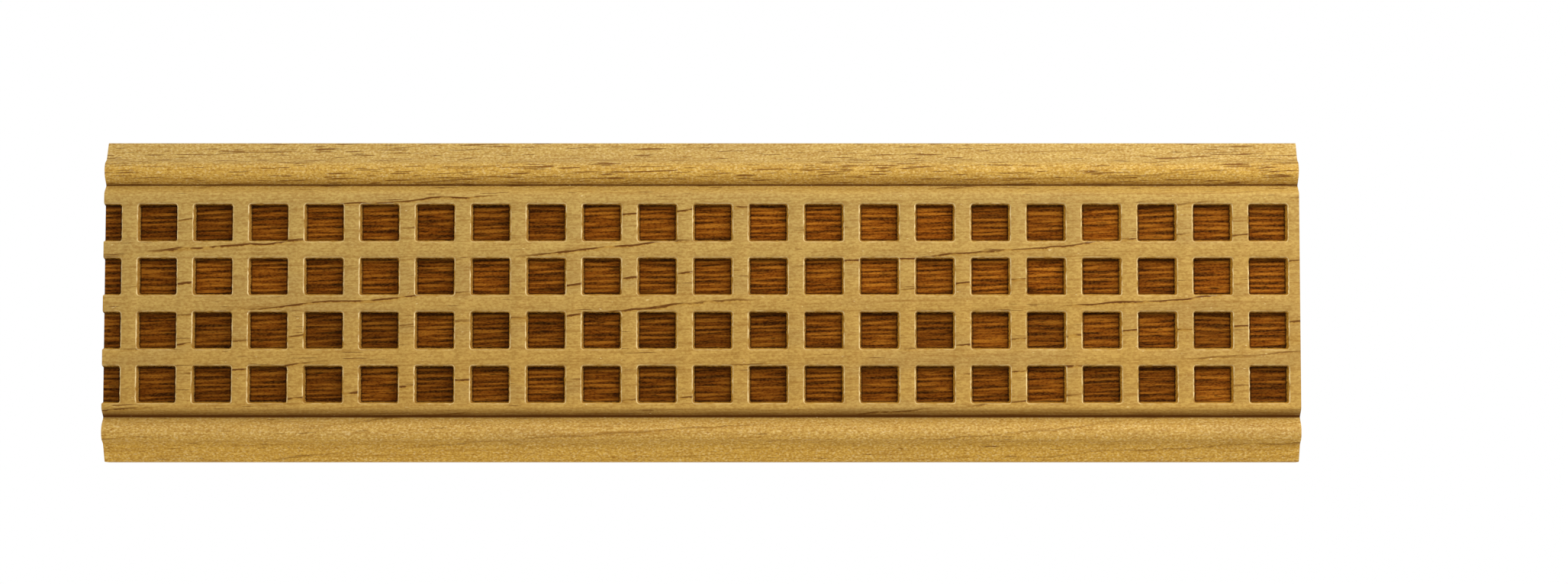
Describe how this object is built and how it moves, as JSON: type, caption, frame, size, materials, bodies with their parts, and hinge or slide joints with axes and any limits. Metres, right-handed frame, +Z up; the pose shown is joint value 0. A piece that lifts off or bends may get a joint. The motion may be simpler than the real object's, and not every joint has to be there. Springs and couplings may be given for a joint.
{
  "type": "pressed wooden moulding",
  "caption": "Flat-backed wooden moulding: a grooved and beaded edge along each side of a face pressed with rows of square sockets; fixed by its back as trim.",
  "frame": {"origin": "middle of the flat back face, in length and in width", "axes": "+X along the moulding, to the right seen from the front; +Y out of the back, into what it is fixed to; +Z up across the width"},
  "size_m": [0.205, 0.008, 0.055],
  "materials": {
    "pine": "bare planed pine, the socket floors browned by the hot press"
  },
  "bodies": {
    "root": {"moulding": "pine"}
  },
  "joints": []
}
